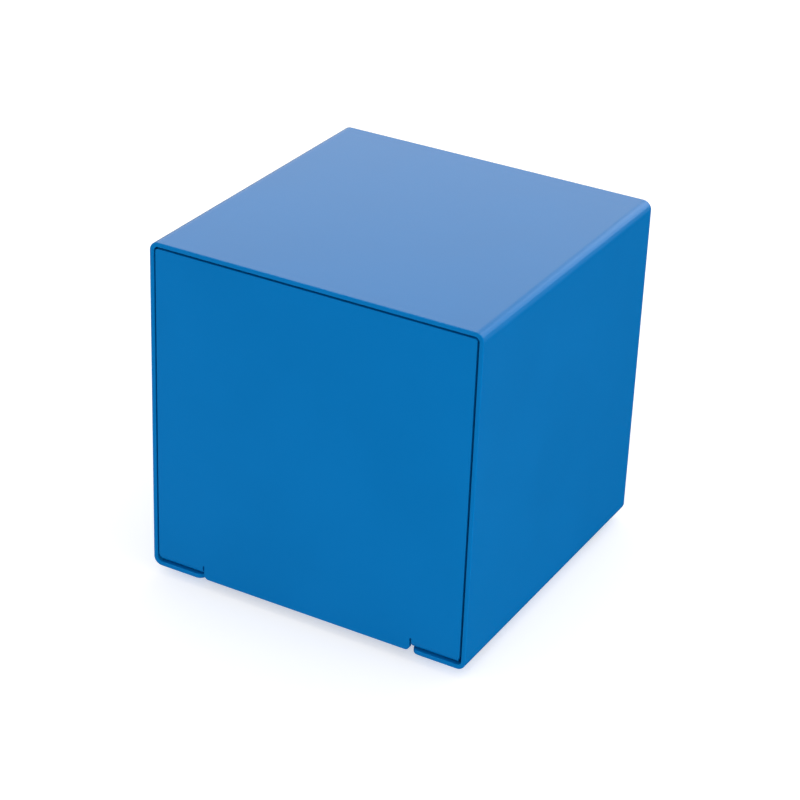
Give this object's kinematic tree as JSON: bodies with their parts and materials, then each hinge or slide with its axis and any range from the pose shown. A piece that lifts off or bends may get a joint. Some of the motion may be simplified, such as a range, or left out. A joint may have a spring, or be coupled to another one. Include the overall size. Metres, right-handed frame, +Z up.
{
  "type": "direct injection box",
  "caption": "Cube cabinet of folded powder-coated steel with a flush blank front and a recessed rear panel holding a balanced output, jacks and switches.",
  "frame": {"origin": "centre of the footprint, on the surface that the feet stand on", "axes": "+Z up, -Y towards the plain front panel, +Y towards the connectors, +X to the right seen from the front"},
  "size_m": [0.115, 0.115, 0.1185],
  "materials": {
    "blue_powder_coat": "satin powder coat",
    "rubber": "matte",
    "zinc_steel": "zinc plated",
    "black_screw": "black oxide",
    "nickel": "satin nickel plate",
    "silver_contact": "silver plate",
    "black_plastic": "moulded",
    "slider_plastic": "moulded",
    "button_plastic": "moulded",
    "green_laminate": "solder mask",
    "resistor_lacquer": "lacquer",
    "capacitor_case": "moulded",
    "shield_metal": "annealed nickel alloy",
    "core_steel": "oxidised laminations",
    "winding_copper": "enamelled wire",
    "soft_pad": "foam rubber",
    "wire_jacket": "soft jacket"
  },
  "bodies": {
    "cabinet": {"shell": "blue_powder_coat", "chassis": "blue_powder_coat", "rear_panel": "blue_powder_coat", "rubber_feet": "rubber", "foot_washers": "zinc_steel", "shell_nuts": "zinc_steel", "panel_studs": "zinc_steel", "panel_nuts": "zinc_steel", "xlr_nuts": "zinc_steel", "board_standoffs": "zinc_steel", "board_screws": "zinc_steel", "transformer_studs": "zinc_steel", "transformer_nuts": "zinc_steel", "ground_stud": "zinc_steel", "ground_nut": "zinc_steel", "ground_lift_frame": "zinc_steel", "pad_frame": "zinc_steel", "transformer_clamp": "zinc_steel", "shell_screws": "black_screw", "xlr_screws": "black_screw", "switch_screws": "black_screw", "xlr_shell": "nickel", "jack_washers": "nickel", "jack_nuts": "nickel", "input_jack_bushing": "nickel", "thru_jack_bushing": "nickel", "polarity_barrel": "nickel", "polarity_nut": "nickel", "xlr_pins": "silver_contact", "input_jack_contacts": "silver_contact", "thru_jack_contacts": "silver_contact", "ground_lift_terminals": "silver_contact", "pad_terminals": "silver_contact", "polarity_terminals": "silver_contact", "ground_lug": "silver_contact", "xlr_insert": "black_plastic", "input_jack_housing": "black_plastic", "thru_jack_housing": "black_plastic", "ground_lift_housing": "black_plastic", "pad_housing": "black_plastic", "polarity_body": "black_plastic", "transformer_bobbin": "black_plastic", "circuit_board": "green_laminate", "resistors": "resistor_lacquer", "capacitors": "capacitor_case", "transformer_shield": "shield_metal", "transformer_core": "core_steel", "transformer_winding": "winding_copper", "transformer_pads": "soft_pad", "output_wires": "wire_jacket", "ground_lift_wires": "wire_jacket", "pad_wires": "wire_jacket", "polarity_wires": "wire_jacket", "transformer_wires": "wire_jacket", "ground_wire": "wire_jacket"},
    "ground_lift_slide_body": {"ground_lift_slider": "slider_plastic"},
    "pad_slide_body": {"pad_slider": "slider_plastic"},
    "polarity_push_body": {"polarity_button": "button_plastic"}
  },
  "joints": [
    {"name": "ground_lift_slide", "type": "slide", "parent": "cabinet", "child": "ground_lift_slide_body", "axis": [1, 0, 0], "range_m": [0, 0.004]},
    {"name": "pad_slide", "type": "slide", "parent": "cabinet", "child": "pad_slide_body", "axis": [1, 0, 0], "range_m": [0, 0.004]},
    {"name": "polarity_push", "type": "slide", "parent": "cabinet", "child": "polarity_push_body", "axis": [0, -1, 0], "range_m": [0, 0.003], "stiffness_N_per_m": 400, "springref_m": -0.002}
  ]
}
